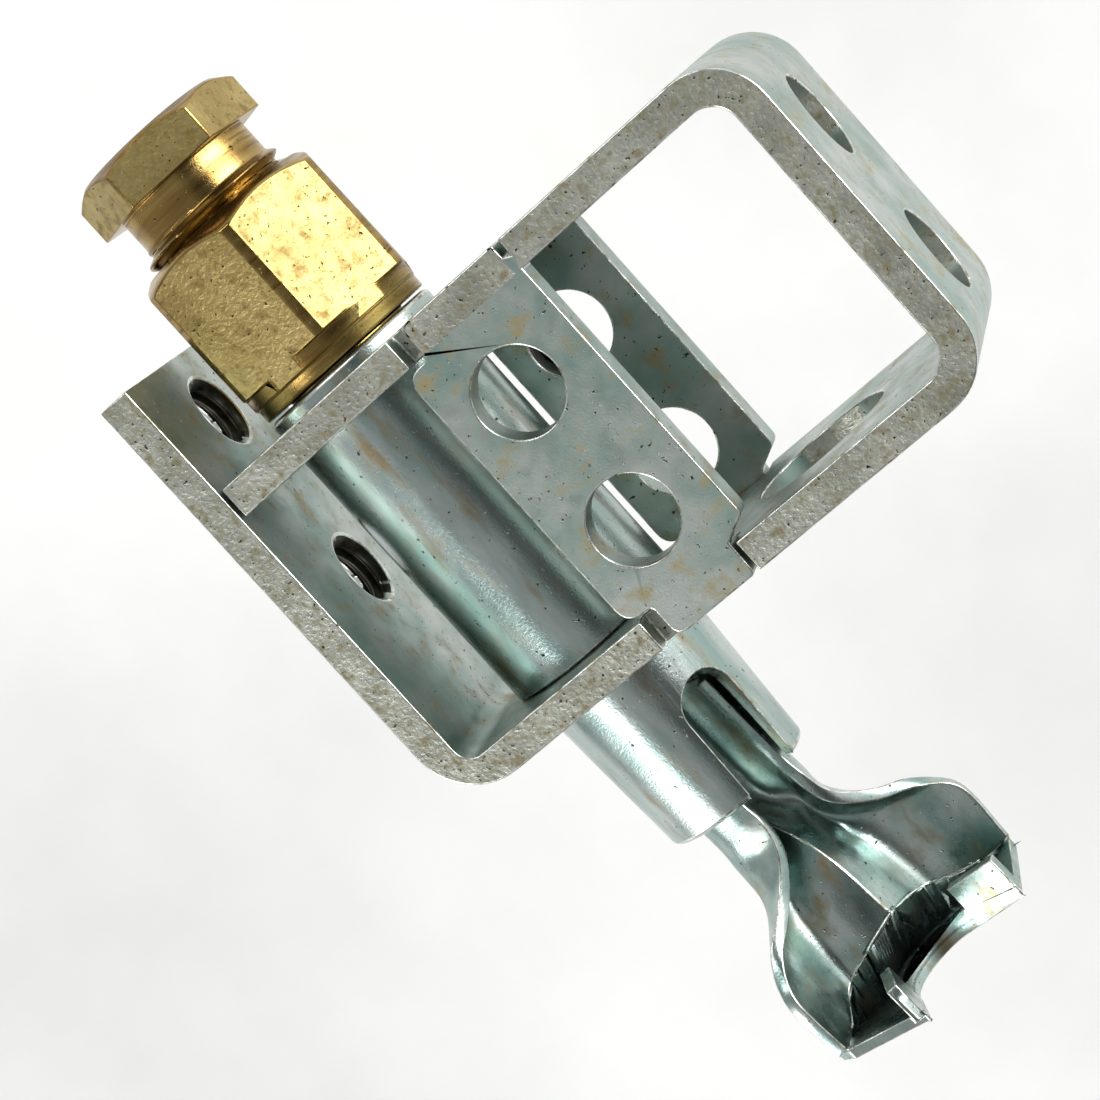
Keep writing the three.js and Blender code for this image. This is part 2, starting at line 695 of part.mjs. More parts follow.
/** The ferrule that the nut squeezes onto the gas pipe. */
function ferrule() {
  const { top, bottom, radius, noseRadius, boreRadius, noseLength, tailLength } = FERRULE;
  return turned([
    [boreRadius, bottom],
    [noseRadius, bottom],
    [radius, bottom + noseLength],
    [radius, top - tailLength],
    [noseRadius, top],
    [boreRadius, top],
    [boreRadius, bottom],
  ], BORE_ROUND);
}

/** The orifice spud that meters the gas into the burner tube. */
function orificeSpud() {
  return turned([
    [SPUD.jetRadius, SPUD.noseBottom],
    [SPUD.tipRadius, SPUD.noseBottom],
    [SPUD.noseRadius, SPUD.noseBottom + SPUD.tipLength],
    [SPUD.noseRadius, SPUD.headBottom - SPUD.headCone],
    [SPUD.headRadius, SPUD.headBottom],
    [SPUD.headRadius, SPUD.top],
    [SPUD.chamberRadius, SPUD.top],
    [SPUD.chamberRadius, SPUD.chamberFloor],
    [SPUD.jetRadius, SPUD.chamberFloor - SPUD.drillPoint],
    [SPUD.jetRadius, SPUD.noseBottom],
  ], SMALL_ROUND);
}

// ---------------------------------------------------------------- assembly

const PIECES = [
  ['mounting_bracket', mountingBracket, COLOURS.zinc],
  ['burner_tube', burnerTube, COLOURS.zinc],
  ['flame_hood', flameHood, COLOURS.hoodZinc],
  ['inlet_body', inletBody, COLOURS.brass],
  ['orifice_spud', orificeSpud, COLOURS.turnedBrass],
  ['ferrule', ferrule, COLOURS.turnedBrass],
  ['compression_nut', compressionNut, COLOURS.turnedBrass],
];

const burner = new THREE.Group();
burner.name = 'pilot_burner';
for (const [name, build, finish] of PIECES) {
  const mesh = new THREE.Mesh(geometryOf(build()), new THREE.MeshStandardMaterial(finish));
  mesh.name = name;
  burner.add(mesh);
}

export default burner;
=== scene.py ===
"""Gas pilot burner: bracket, burner tube, flame hood and brass inlet, on a pale studio floor.

Sizes are in millimetres in the part's own frame: X from the mounting wall to the end wall, Y along
the burner axis towards the inlet nut, Z across the bracket's strip. Meshes are made in metres.
"""

import logging
import math
from collections.abc import Callable, Sequence
from dataclasses import dataclass, field
from enum import Enum
from functools import partial

import bmesh
import bpy
from mathutils import Matrix, Vector


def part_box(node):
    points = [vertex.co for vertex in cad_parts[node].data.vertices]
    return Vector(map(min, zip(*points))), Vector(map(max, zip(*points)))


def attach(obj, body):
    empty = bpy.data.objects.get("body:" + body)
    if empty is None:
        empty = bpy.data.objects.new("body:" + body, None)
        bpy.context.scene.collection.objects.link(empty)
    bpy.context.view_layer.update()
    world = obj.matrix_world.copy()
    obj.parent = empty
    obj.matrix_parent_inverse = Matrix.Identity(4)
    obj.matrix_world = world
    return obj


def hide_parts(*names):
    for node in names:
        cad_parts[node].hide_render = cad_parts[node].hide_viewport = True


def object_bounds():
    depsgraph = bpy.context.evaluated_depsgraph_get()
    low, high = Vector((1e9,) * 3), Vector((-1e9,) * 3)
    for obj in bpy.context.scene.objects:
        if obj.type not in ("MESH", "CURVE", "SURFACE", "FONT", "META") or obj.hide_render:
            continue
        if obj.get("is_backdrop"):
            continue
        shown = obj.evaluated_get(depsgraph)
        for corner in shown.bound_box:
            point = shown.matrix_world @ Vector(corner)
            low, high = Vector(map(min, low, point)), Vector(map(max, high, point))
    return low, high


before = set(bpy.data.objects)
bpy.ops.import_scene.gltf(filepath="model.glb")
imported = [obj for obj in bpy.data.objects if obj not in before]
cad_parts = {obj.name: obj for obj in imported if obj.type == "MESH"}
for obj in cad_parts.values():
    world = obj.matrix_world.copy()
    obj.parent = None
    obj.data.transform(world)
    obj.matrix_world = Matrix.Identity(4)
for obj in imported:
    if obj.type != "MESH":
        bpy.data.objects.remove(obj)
CAD_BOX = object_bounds()

MM = 0.001
FINE = 96  # sides of a visible round
BORE = 64  # sides of a hole
ARC_STEPS = 14  # steps in a bend
OVER = 1.0  # how far a cutter reaches past the face that it opens
JOIN = 0.1  # how far solids that are joined into one reach into each other
GAP = 0.3  # gap between pieces that touch
SOFTEN_FROM, SOFTEN_TO = math.radians(38), math.radians(130)  # how sharply a corner must turn to be softened and given the corner finish
MERGE = 0.004  # corners nearer than this become one
SLIVER = 0.002  # edges shorter than this go

LOG = logging.getLogger("pilot_burner")

Point = tuple[float, float]
Region = Callable[[Vector, Vector], int]


class Body(Enum):
    """The rigid bodies that pieces ride on."""

    BURNER = "burner"
    FERRULE = "ferrule"
    NUT = "nut"


class Operation(Enum):
    """What a second solid does to the first."""

    CUT = "DIFFERENCE"
    ADD = "UNION"
    KEEP = "INTERSECT"


# ------------------------------------------------------------------ mesh tools


def extent(node: str) -> tuple[Vector, Vector]:
    """Lowest and highest corner of a CAD node.

    Args:
        node: The node's name.

    Returns:
        Both corners in millimetres.
    """
    low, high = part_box(node)
    return low / MM, high / MM


def solid(name: str, mesh: bmesh.types.BMesh) -> bpy.types.Object:
    """Makes an object of a closed mesh drawn in millimetres.

    Args:
        name: The object's name.
        mesh: The mesh, which is used up.

    Returns:
        The object, in metres, with its faces pointing out.
    """
    bmesh.ops.remove_doubles(mesh, verts=mesh.verts, dist=1e-4)
    bmesh.ops.recalc_face_normals(mesh, faces=mesh.faces)
    bmesh.ops.scale(mesh, vec=(MM, MM, MM), verts=mesh.verts)
    data = bpy.data.meshes.new(name)
    mesh.to_mesh(data)
    mesh.free()
    piece = bpy.data.objects.new(name, data)
    bpy.context.scene.collection.objects.link(piece)
    return piece


def prism(
    name: str, outline: Sequence[Point], low: float, high: float, place: Matrix
) -> bpy.types.Object:
    """Pushes a flat outline along its third direction.

    Args:
        name: The object's name.
        outline: Corners in order, without the first one again.
        low: Where the push starts.
        high: Where it ends.
        place: Takes the outline's own directions to the frame.

    Returns:
        The solid.
    """
    mesh = bmesh.new()
    ends = [[mesh.verts.new(place @ Vector((a, b, c))) for a, b in outline] for c in (low, high)]
    for end in ends:
        mesh.faces.new(end)
    count = len(outline)
    for n in range(count):
        after = (n + 1) % count
        mesh.faces.new((ends[0][n], ends[0][after], ends[1][after], ends[1][n]))
    return solid(name, mesh)


def turned(name: str, profile: Sequence[Point], axis_x: float, sides: int = FINE) -> bpy.types.Object:
    """Turns a profile about a line along Y.

    Args:
        name: The object's name.
        profile: Radius and y, either closed on itself or from the axis to the axis.
        axis_x: Where the line stands.
        sides: Steps around.

    Returns:
        The solid.
    """
    mesh = bmesh.new()
    rings = []
    for radius, y in profile:
        if radius == 0:
            rings.append(None)
            continue
        ring = []
        for side in range(sides):
            angle = math.tau * side / sides
            ring.append(
                mesh.verts.new((axis_x + radius * math.cos(angle), y, radius * math.sin(angle)))
            )
        rings.append(ring)
    pairs = list(zip(rings, rings[1:]))
    if rings[0] is not None:
        pairs.append((rings[-1], rings[0]))
    for first, second in pairs:
        if first is None or second is None:
            mesh.faces.new(second or first)
            continue
        for n in range(sides):
            after = (n + 1) % sides
            mesh.faces.new((first[n], first[after], second[after], second[n]))
    return solid(name, mesh)


def combined(
    base: bpy.types.Object, others: Sequence[bpy.types.Object], operation: Operation
) -> bpy.types.Object:
    """Cuts, joins or trims a solid with others, and removes those.

    Args:
        base: The solid that is kept.
        others: The solids that are used up.
        operation: What they do to it.

    Returns:
        The base, changed.
    """
    for other in others:
        step = base.modifiers.new(operation.name, "BOOLEAN")
        step.object = other
        step.operation = operation.value
        step.solver = "EXACT"
    settle(base)
    for other in others:
        data = other.data
        bpy.data.objects.remove(other)
        bpy.data.meshes.remove(data)
    return base


def settle(piece: bpy.types.Object) -> None:
    """Turns a piece's modifiers into its mesh."""
    bpy.context.view_layer.update()
    graph = bpy.context.evaluated_depsgraph_get()
    final = bpy.data.meshes.new_from_object(piece.evaluated_get(graph))
    piece.modifiers.clear()
    piece.data = final


def arc(x: float, y: float, radius: float, start: float, end: float) -> list[Point]:
    """Points of an arc about (x, y), between two angles in degrees."""
    angles = [math.radians(start + (end - start) * n / ARC_STEPS) for n in range(ARC_STEPS + 1)]
    return [(x + radius * math.cos(a), y + radius * math.sin(a)) for a in angles]


def curve(a: Vector, b: Vector, c: Vector, steps: int = 8) -> list[Point]:
    """Points of a quadratic curve from a to c, pulled towards b."""
    shares = [n / steps for n in range(steps + 1)]
    points = [a * (1 - t) ** 2 + b * 2 * t * (1 - t) + c * t * t for t in shares]
    return [(p.x, p.y) for p in points]


def rounded(corners: Sequence[tuple[float, float, float]]) -> list[Point]:
    """An outline through corners, each given as x, y and the reach of its rounding."""
    outline: list[Point] = []
    for n, (x, y, reach) in enumerate(corners):
        corner = Vector((x, y))
        before = Vector(corners[n - 1][:2])
        after = Vector(corners[(n + 1) % len(corners)][:2])
        if reach == 0:
            outline.append((x, y))
            continue
        start = corner + (before - corner).normalized() * reach
        end = corner + (after - corner).normalized() * reach
        outline += curve(start, corner, end)
    return outline


def through(points: Sequence[Vector], share: float) -> Vector:
    """A smooth curve through points at even steps.

    Args:
        points: What the curve passes through.
        share: Where to read it, from 0 to 1.

    Returns:
        The point there.
    """
    place = share * (len(points) - 1)
    n = min(int(place), len(points) - 2)
    t = place - n
    b, c = points[n], points[n + 1]
    a = points[n - 1] if n > 0 else b + (b - c)
    d = points[n + 2] if n + 2 < len(points) else c + (c - b)
    gaps = [max((q - p).length, 1e-8) ** 0.5 for p, q in ((a, b), (b, c), (c, d))]
    start = (b - a) / gaps[0] - (c - a) / (gaps[0] + gaps[1]) + (c - b) / gaps[1]
    end = (c - b) / gaps[1] - (d - b) / (gaps[1] + gaps[2]) + (d - c) / gaps[2]
    start *= gaps[1]
    end *= gaps[1]
    square = -3 * b + 3 * c - 2 * start - end
    cube = 2 * b - 2 * c + start + end
    return b + start * t + square * t**2 + cube * t**3


@dataclass(frozen=True)
class Thread:
    """A screw thread whose ridge rises from a root.

    Attributes:
        root: Radius between the ridges.
        height: How far the ridge rises.
        pitch: Distance from ridge to ridge.
        fade: How far the thread runs in and out, in pitches.
    """

    root: float
    height: float
    pitch: float
    fade: float = 0.65

    def rod(self, name: str, axis_x: float, low: float, high: float) -> bpy.types.Object:
        """A threaded rod along Y from low to high."""
        flank = 0.42  # reach of one flank, in pitches
        crest = 1.25  # how much of the flank's height the flat crest cuts away
        rows = round((high - low) / self.pitch * 14)
        mesh = bmesh.new()
        rings = []
        for row in range(rows + 1):
            y = low + (high - low) * row / rows
            ring = []
            for side in range(FINE):
                turn = side / FINE
                phase = (y / self.pitch - turn) % 1
                slope = max(0.0, 1 - abs(phase - 0.5) / flank)
                faded = min(1.0, max(0.0, min(high - y, y - low) / (self.fade * self.pitch)))
                radius = self.root + self.height * min(1.0, crest * slope) * faded
                angle = -math.tau * turn
                ring.append(
                    mesh.verts.new((axis_x + radius * math.cos(angle), y, radius * math.sin(angle)))
                )
            rings.append(ring)
        mesh.faces.new(rings[0])
        mesh.faces.new(rings[-1])
        for first, second in zip(rings, rings[1:]):
            for n in range(FINE):
                after = (n + 1) % FINE
                mesh.faces.new((first[n], first[after], second[after], second[n]))
        return solid(name, mesh)


# ------------------------------------------------------------------ finishes


def linear(code: str) -> tuple[float, float, float, float]:
    """Turns an sRGB hex colour into linear red, green, blue and 1."""
    values = [int(code[n : n + 2], 16) / 255 for n in (1, 3, 5)]
    red, green, blue = [v / 12.92 if v <= 0.04045 else ((v + 0.055) / 1.055) ** 2.4 for v in values]
    return red, green, blue, 1.0


def per(size: float) -> float:
    """A pattern's scale for features of a size in millimetres."""
    return 1 / (size * MM)


def add_node(
    tree: bpy.types.NodeTree,
    kind: str,
    inputs: dict | None = None,
    stops: Sequence[tuple[float, tuple]] = (),
    **settings: object,
) -> bpy.types.Node:
    """Adds a node with its settings and links.

    Args:
        tree: The material's nodes.
        kind: Type of the node.
        inputs: Values for its inputs, or the outputs that they take.
        stops: A colour ramp's places and colours.
        settings: The node's own properties.

    Returns:
        The node.
    """
    node = tree.nodes.new(kind)
    for name, value in settings.items():
        setattr(node, name, value)
    for key, value in (inputs or {}).items():
        if isinstance(value, bpy.types.NodeSocket):
            tree.links.new(value, node.inputs[key])
        else:
            node.inputs[key].default_value = value
    for n, (place, colour) in enumerate(stops):
        ramp = node.color_ramp.elements
        stop = ramp[n] if n < len(ramp) else ramp.new(place)
        stop.position = place
        stop.color = colour
    return node


BLACK = (0.0, 0.0, 0.0, 1.0)
WHITE = (1.0, 1.0, 1.0, 1.0)


def new_material(name: str) -> tuple[bpy.types.Material, bpy.types.NodeTree]:
    """An empty node material and its nodes."""
    material = bpy.data.materials.new(name)
    material.use_nodes = True
    material.node_tree.nodes.clear()
    return material, material.node_tree


@dataclass(frozen=True)
class Metal:
    """A plated or bare metal skin with drifts of colour, stains, specks and a fine grain.

    Attributes:
        name: What it is and how its surface was made.
        clean: Colour of the clean metal.
        drift: Colour that it drifts to in wide patches.
        stain: Colour of its stains.
        speck: Colour of its pits and dirt.
        roughness: Its least and greatest roughness.
        drift_size: Width of the wide patches.
        stain_size: Width of the stains.
        stained: Share of the surface that is stained, from 0 to 1.
        speck_size: Distance between specks.
        specked: Share of the places that hold a speck, from 0 to 1.
        grain: Size of the fine grain.
        relief: Depth of the fine grain.
        stretch: How far the patches are drawn out along each axis.
        corners_softened: Whether its corners are softened and given the piece's corner finish.
    """

    name: str
    clean: str
    drift: str
    stain: str
    speck: str
    roughness: tuple[float, float] = (0.28, 0.48)
    drift_size: float = 7.0
    stain_size: float = 2.2
    stained: float = 0.4
    speck_size: float = 0.55
    specked: float = 0.25
    grain: float = 0.16
    relief: float = 0.012
    stretch: tuple[float, float, float] = (1.0, 1.0, 1.0)
    corners_softened: bool = True

    def material(self) -> bpy.types.Material:
        """Makes the material of this skin."""
        material, tree = new_material(self.name)
        place = add_node(tree, "ShaderNodeTexCoord").outputs["Object"]
        shares = tuple(1 / s for s in self.stretch)
        drawn = add_node(tree, "ShaderNodeMapping", {"Vector": place, "Scale": shares})
        drawn = drawn.outputs["Vector"]

        def cloud(size: float, vector: bpy.types.NodeSocket, detail: float) -> bpy.types.NodeSocket:
            """A noise pattern whose features have a size in millimetres."""
            inputs = {"Vector": vector, "Scale": per(size), "Detail": detail, "Roughness": 0.6}
            return add_node(tree, "ShaderNodeTexNoise", inputs).outputs["Fac"]

        def mask(source: bpy.types.NodeSocket, start: float, end: float) -> bpy.types.NodeSocket:
            """Where a pattern rises from start to end."""
            stops = ((start, BLACK), (end, WHITE))
            return add_node(tree, "ShaderNodeValToRGB", {"Fac": source}, stops).outputs["Color"]

        def blend(share: bpy.types.NodeSocket, under: object, over: object) -> bpy.types.NodeSocket:
            """One colour over another."""
            node = add_node(tree, "ShaderNodeMix", data_type="RGBA")
            tree.links.new(share, node.inputs["Factor"])
            for name, value in (("A", under), ("B", over)):
                socket = next(s for s in node.inputs if s.name == name and s.type == "RGBA")
                if isinstance(value, bpy.types.NodeSocket):
                    tree.links.new(value, socket)
                else:
                    socket.default_value = value
            return next(s for s in node.outputs if s.type == "RGBA")

        drifting = cloud(self.drift_size, drawn, 3.0)
        staining = cloud(self.stain_size, drawn, 7.0)
        colour = blend(mask(drifting, 0.36, 0.64), linear(self.clean), linear(self.drift))
        edge = 0.5 + 0.28 * (0.5 - self.stained)
        colour = blend(mask(staining, edge, edge + 0.16), colour, linear(self.stain))
        specks = cloud(self.speck_size, place, 2.0)
        edge = 0.74 - 0.2 * self.specked
        pits = mask(specks, edge, edge + 0.05)
        colour = blend(pits, colour, linear(self.speck))

        fine = cloud(self.grain, place, 3.0)
        low, high = self.roughness
        spread = {"Value": staining, "From Min": 0.3, "From Max": 0.7, "To Min": low, "To Max": high}
        rough = add_node(tree, "ShaderNodeMapRange", spread).outputs["Result"]
        heights = add_node(
            tree, "ShaderNodeMath", {0: pits, 1: -2.5, 2: fine}, operation="MULTIPLY_ADD"
        ).outputs["Value"]
        bump = {"Height": heights, "Strength": 1.0, "Distance": self.relief * MM}
        normal = add_node(tree, "ShaderNodeBump", bump).outputs["Normal"]
        shader = {"Base Color": colour, "Metallic": 1.0, "Roughness": rough, "Normal": normal}
        skin = add_node(tree, "ShaderNodeBsdfPrincipled", shader)
        surface = {"Surface": skin.outputs["BSDF"]}
        add_node(tree, "ShaderNodeOutputMaterial", surface)
        return material


# Zinc plate on rolled strip: a soft grey shine with a green-blue tint and yellow storage stains.
ZINC_ROLLED = Metal(
    "zinc plate on rolled steel strip",
    clean="#B9BFBA",
    drift="#8CA39C",
    stain="#A69C7B",
    speck="#3A382F",
    roughness=(0.3, 0.5),
    drift_size=5.5,
    stain_size=1.7,
    stained=0.38,
    speck_size=0.36,
    specked=0.34,
    grain=0.14,
    relief=0.014,
)

# Zinc plate on a sheared edge: torn metal under the plate, so grainy, with bright and dark facets.
ZINC_SHEARED = Metal(
    "zinc plate on a sheared steel edge",
    clean="#BDBFB4",
    drift="#9C9E92",
    stain="#8E8870",
    speck="#33312A",
    roughness=(0.3, 0.6),
    drift_size=2.6,
    stain_size=0.6,
    stained=0.5,
    speck_size=0.3,
    specked=0.42,
    grain=0.3,
    relief=0.06,
    stretch=(1.3, 1.3, 1.0),
)

# Zinc on softened corners: smoother than the faces beside it, and brighter as a painted highlight.
ZINC_CORNER_HIGHLIGHT = Metal(
    "zinc plate on a corner, brightened as a painted highlight",
    clean="#E3E6E1",
    drift="#B4B9B0",
    stain="#87826D",
    speck="#4A473C",
    roughness=(0.18, 0.38),
    drift_size=1.6,
    stain_size=0.9,
    stained=0.5,
    specked=0.25,
    relief=0.01,
)

# Zinc plate in a tapped hole, coloured much darker than the faces around it.
ZINC_THREAD = Metal(
    "zinc plate in a tapped hole, darkened",
    clean="#4B4C44",
    drift="#33342E",
    stain="#5D5947",
    speck="#1D1C18",
    roughness=(0.35, 0.55),
    drift_size=1.5,
    stain_size=0.8,
    corners_softened=False,
)

# Zinc plate on a turned tube: streaks of colour run along it.
ZINC_TUBE = Metal(
    "zinc plate on a turned steel tube",
    clean="#C0C9C6",
    drift="#93A8A4",
    stain="#978B70",
    speck="#38332C",
    roughness=(0.16, 0.32),
    drift_size=2.8,
    stain_size=1.8,
    stained=0.32,
    speck_size=0.36,
    specked=0.3,
    stretch=(1.0, 3.5, 1.0),
)

# Zinc plate on pressed sheet: stretched smooth by the press, so it mirrors more.
ZINC_PRESSED = Metal(
    "zinc plate on pressed steel sheet",
    clean="#BAC6C2",
    drift="#809B96",
    stain="#94886A",
    speck="#3A362C",
    roughness=(0.18, 0.36),
    drift_size=3.4,
    stain_size=2.2,
    stained=0.36,
    speck_size=0.36,
    specked=0.3,
    stretch=(1.0, 1.8, 1.0),
)

# Drawn brass bar: a dull, finely grained skin on its flats, with a few black pits.
BRASS_DRAWN = Metal(
    "brass, drawn hexagon bar",
    clean="#B3A06A",
    drift="#9F8B58",
    stain="#877446",
    speck="#2A210E",
    roughness=(0.34, 0.5),
    drift_size=4.0,
    stain_size=0.9,
    stained=0.45,
    speck_size=0.3,
    specked=0.34,
    grain=0.3,
    relief=0.06,
)

# Turned brass: fine rings left by the tool, so it shines in a band.
BRASS_TURNED = Metal(
    "brass, turned",
    clean="#B0955A",
    drift="#8A7040",
    stain="#6E5428",
    speck="#2E2210",
    roughness=(0.16, 0.34),
    drift_size=2.6,
    stain_size=1.2,
    stained=0.45,
    speck_size=0.36,
    specked=0.25,
    grain=0.14,
    relief=0.012,
    stretch=(6.0, 0.4, 6.0),
)


# ------------------------------------------------------------------ dressing


def softened_corner(edge: bmesh.types.BMEdge, finishes: Sequence[Metal]) -> bool:
    """Whether an edge is a softened corner, which on zinc takes a painted highlight: not nearly flat,
    folded sharp back or in a thread.
    """
    if len(edge.link_faces) != 2:
        return False
    if not SOFTEN_FROM < edge.calc_face_angle() < SOFTEN_TO:
        return False
    return any(finishes[face.material_index].corners_softened for face in edge.link_faces)


def dress(
    piece: bpy.types.Object,
    body: Body,
    node: str,
    finishes: Sequence[Metal],
    region: Region,
    corner: float = 0.1,
) -> None:
    """Softens a piece's corners, gives it its finishes and puts it in its place in the part.

    Args:
        piece: The piece, in place.
        body: The body that it rides on.
        node: The CAD node that it stands for.
        finishes: Its finishes, with the one for softened corners last, which on zinc pieces is a painted
            highlight.
        region: Gives the number of a face's finish from its middle, in millimetres, and its normal.
        corner: Width of the softened corners.
    """
    for finish in finishes:
        made = bpy.data.materials.get(finish.name) or finish.material()
        piece.data.materials.append(made)
    tidy = bmesh.new()
    tidy.from_mesh(piece.data)
    bmesh.ops.remove_doubles(tidy, verts=tidy.verts, dist=MERGE * MM)
    bmesh.ops.dissolve_degenerate(tidy, edges=tidy.edges, dist=SLIVER * MM)
    for face in tidy.faces:
        face.material_index = region(face.calc_center_median() / MM, face.normal)
    weight = tidy.edges.layers.float.new("bevel_weight_edge")
    for edge in tidy.edges:
        edge[weight] = float(softened_corner(edge, finishes))
    tidy.to_mesh(piece.data)
    tidy.free()
    bevel = piece.modifiers.new("corners", "BEVEL")
    bevel.width = corner * MM
    bevel.segments = 2
    bevel.limit_method = "WEIGHT"
    bevel.use_clamp_overlap = False
    # The softened corners take the last finish: on zinc pieces a brighter zinc, a painted highlight.
    bevel.material = len(finishes) - 1
    even = piece.modifiers.new("shading", "WEIGHTED_NORMAL")
    even.keep_sharp = True
    for face in piece.data.polygons:
        face.use_smooth = True
    settle(piece)
    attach(piece, body.value)
    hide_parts(node)
    LOG.info("%s: %d faces on %s", piece.name, len(piece.data.polygons), body.value)


# ------------------------------------------------------------------ bracket


@dataclass
class Bracket:
    """The bracket: one strip bent into a mounting wall, two flanges and an end wall."""

    low: Vector = field(default_factory=lambda: extent("mounting_bracket")[0])
    high: Vector = field(default_factory=lambda: extent("mounting_bracket")[1])
    tube_axis: float = 11.0
    thickness: float = 2.2
    top: float = 2.9
    bend: float = 4.0
    wall_bend: float = 4.4
    wall_crease: float = 1.2
    tapped: Thread = Thread(root=2.08, height=0.34, pitch=0.79, fade=0.2)
    tapped_spacing: float = 13.5
    sink_radius: float = 2.7
    sink_depth: float = 0.6
    sensor: Point = (29.95, 4.95)  # x and radius
    end_holes: Point = (-4.4, -15.05)
    end_hole_radius: float = 3.0
    tab_x: Point = (15.95, 25.9)
    neck_left: float = 17.85
    neck_right: Point = (25.4, 24.1)  # nearer the inlet, nearer the hood
    tab_hole_x: float = 20.63
    tab_holes: Point = (-4.57, -14.73)
    tab_hole_radius: float = 2.85
    shoulder: float = 0.25
    relief_width: float = 1.2
    relief_depth: float = 1.6
    tube_hole: float = 6.68
    sleeve_hole: float = 6.12

    @property
    def half(self) -> float:
        """Half the strip's width."""
        return self.high.z

    @property
    def bottom(self) -> float:
        """Outer face of the flange nearer the hood."""
        return self.low.y

    def strip(self) -> bpy.types.Object:
        """The bent strip, before it is pierced."""
        t, length, top, bottom = self.thickness, self.high.x, self.top, self.bottom
        bend, wall = self.bend, self.wall_bend
        crease = t + self.wall_crease
        outline = [(0.0, self.high.y)]
        outline += arc(wall, bottom + wall, wall, 180, 270)
        outline += arc(length - bend, bottom + bend, bend, -90, 0)
        outline += arc(length - bend, top - bend, bend, 0, 90)
        outline += [(t + GAP, top), (t + GAP, top - t)]
        outline += arc(length - bend, top - bend, bend - t, 90, 0)
        outline += arc(length - bend, bottom + bend, bend - t, 0, -90)
        outline += arc(crease, bottom + crease, self.wall_crease, -90, -180)
        outline += [(t, self.high.y)]
        return prism("mounting_bracket_strip", outline, -self.half, self.half, Matrix())

    def tab(self, low: float) -> bpy.types.Object:
        """A tab that closes the strip's edge, from one face at low."""
        t, top, bottom = self.thickness, self.top, self.bottom
        left, right = self.tab_x
        start = bottom + t + self.shoulder
        end = top - t - self.shoulder
        outline = rounded(
            [
                (self.neck_left, bottom, 0.9),
                (self.neck_right[1], bottom, 0.4),
                (self.neck_right[1], start, 0),
                (right, start + 0.9, 0.4),
                (right, end + 1.2, 0),
                (self.neck_right[0], end + 1.45, 0),
                (self.neck_right[0], top, 0.4),
                (self.neck_left, top, 0.9),
                (self.neck_left, end, 0.4),
                (left, end, 1.3),
                (left, start, 1.3),
                (self.neck_left, start, 0.4),
            ]
        )
        return prism("tab", outline, low, low + t, Matrix())

    def block(self, x: Point, y: Point, z: Point) -> bpy.types.Object:
        """A box that cuts a relief."""
        corners = [(x[0], y[0]), (x[1], y[0]), (x[1], y[1]), (x[0], y[1])]
        return prism("relief", corners, min(z), max(z), Matrix())

    def reliefs(self, side: int) -> list[bpy.types.Object]:
        """The cuts beside a tab's neck and foot at one edge of the strip."""
        t = self.thickness
        edge = self.half * side
        shallow = (edge - self.relief_depth * side, edge + side)
        deep = (edge - (t + GAP) * side, edge + side)
        high = (self.top - t - OVER, self.top + OVER)
        low = (self.bottom - OVER, self.bottom + t + OVER)
        neck = (self.neck_left - self.relief_width, self.neck_left)
        foot = (self.neck_left - GAP, self.neck_right[1] + GAP)
        return [
            self.block(neck, high, shallow),
            self.block((self.neck_right[0], self.tab_x[1]), high, deep),
            self.block(neck, low, shallow),
            self.block(foot, low, deep),
        ]

    def across(self, radius: float, y: float, low: float, high: float) -> bpy.types.Object:
        """A drill along X at a height y."""
        outline = [(radius * math.cos(a), radius * math.sin(a)) for a in self.angles()]
        place = Matrix(((0, 0, 1, 0), (1, 0, 0, y), (0, 1, 0, 0), (0, 0, 0, 1)))
        return prism("drill", outline, low, high, place)

    def angles(self) -> list[float]:
        """Angles around a drill."""
        return [math.tau * n / BORE for n in range(BORE)]

    def tapped_hole(self, y: float) -> list[bpy.types.Object]:
        """The cutters of one tapped hole: its thread and the sink on either face."""
        t = self.thickness
        thread = self.tapped.rod("tapped", 0.0, -OVER, t + OVER)
        thread.data.transform(Matrix.Translation((0, y * MM, 0)) @ Matrix.Rotation(math.pi / 2, 4, "Z"))
        thread.data.transform(Matrix.Scale(-1, 4, (1, 0, 0)))
        thread.data.flip_normals()
        reach = self.sink_depth + OVER
        wide = self.sink_radius + (self.sink_radius - self.tapped.root) / self.sink_depth * OVER
        cutters = [thread]
        for face, way in ((0.0, 1), (t, -1)):
            cone = turned("sink", [(0, 0), (wide, 0), (self.tapped.root, reach), (0, reach)], 0.0, BORE)
            turn = Matrix.Rotation(-way * math.pi / 2, 4, "Z")
            place = Matrix.Translation(((face - way * OVER) * MM, y * MM, 0))
            cone.data.transform(place @ turn)
            cutters.append(cone)
        return cutters

    def along(self, x: float, radius: float, low: float, high: float) -> bpy.types.Object:
        """A drill along Y."""
        return turned("drill", [(0, low), (radius, low), (radius, high), (0, high)], x, BORE)

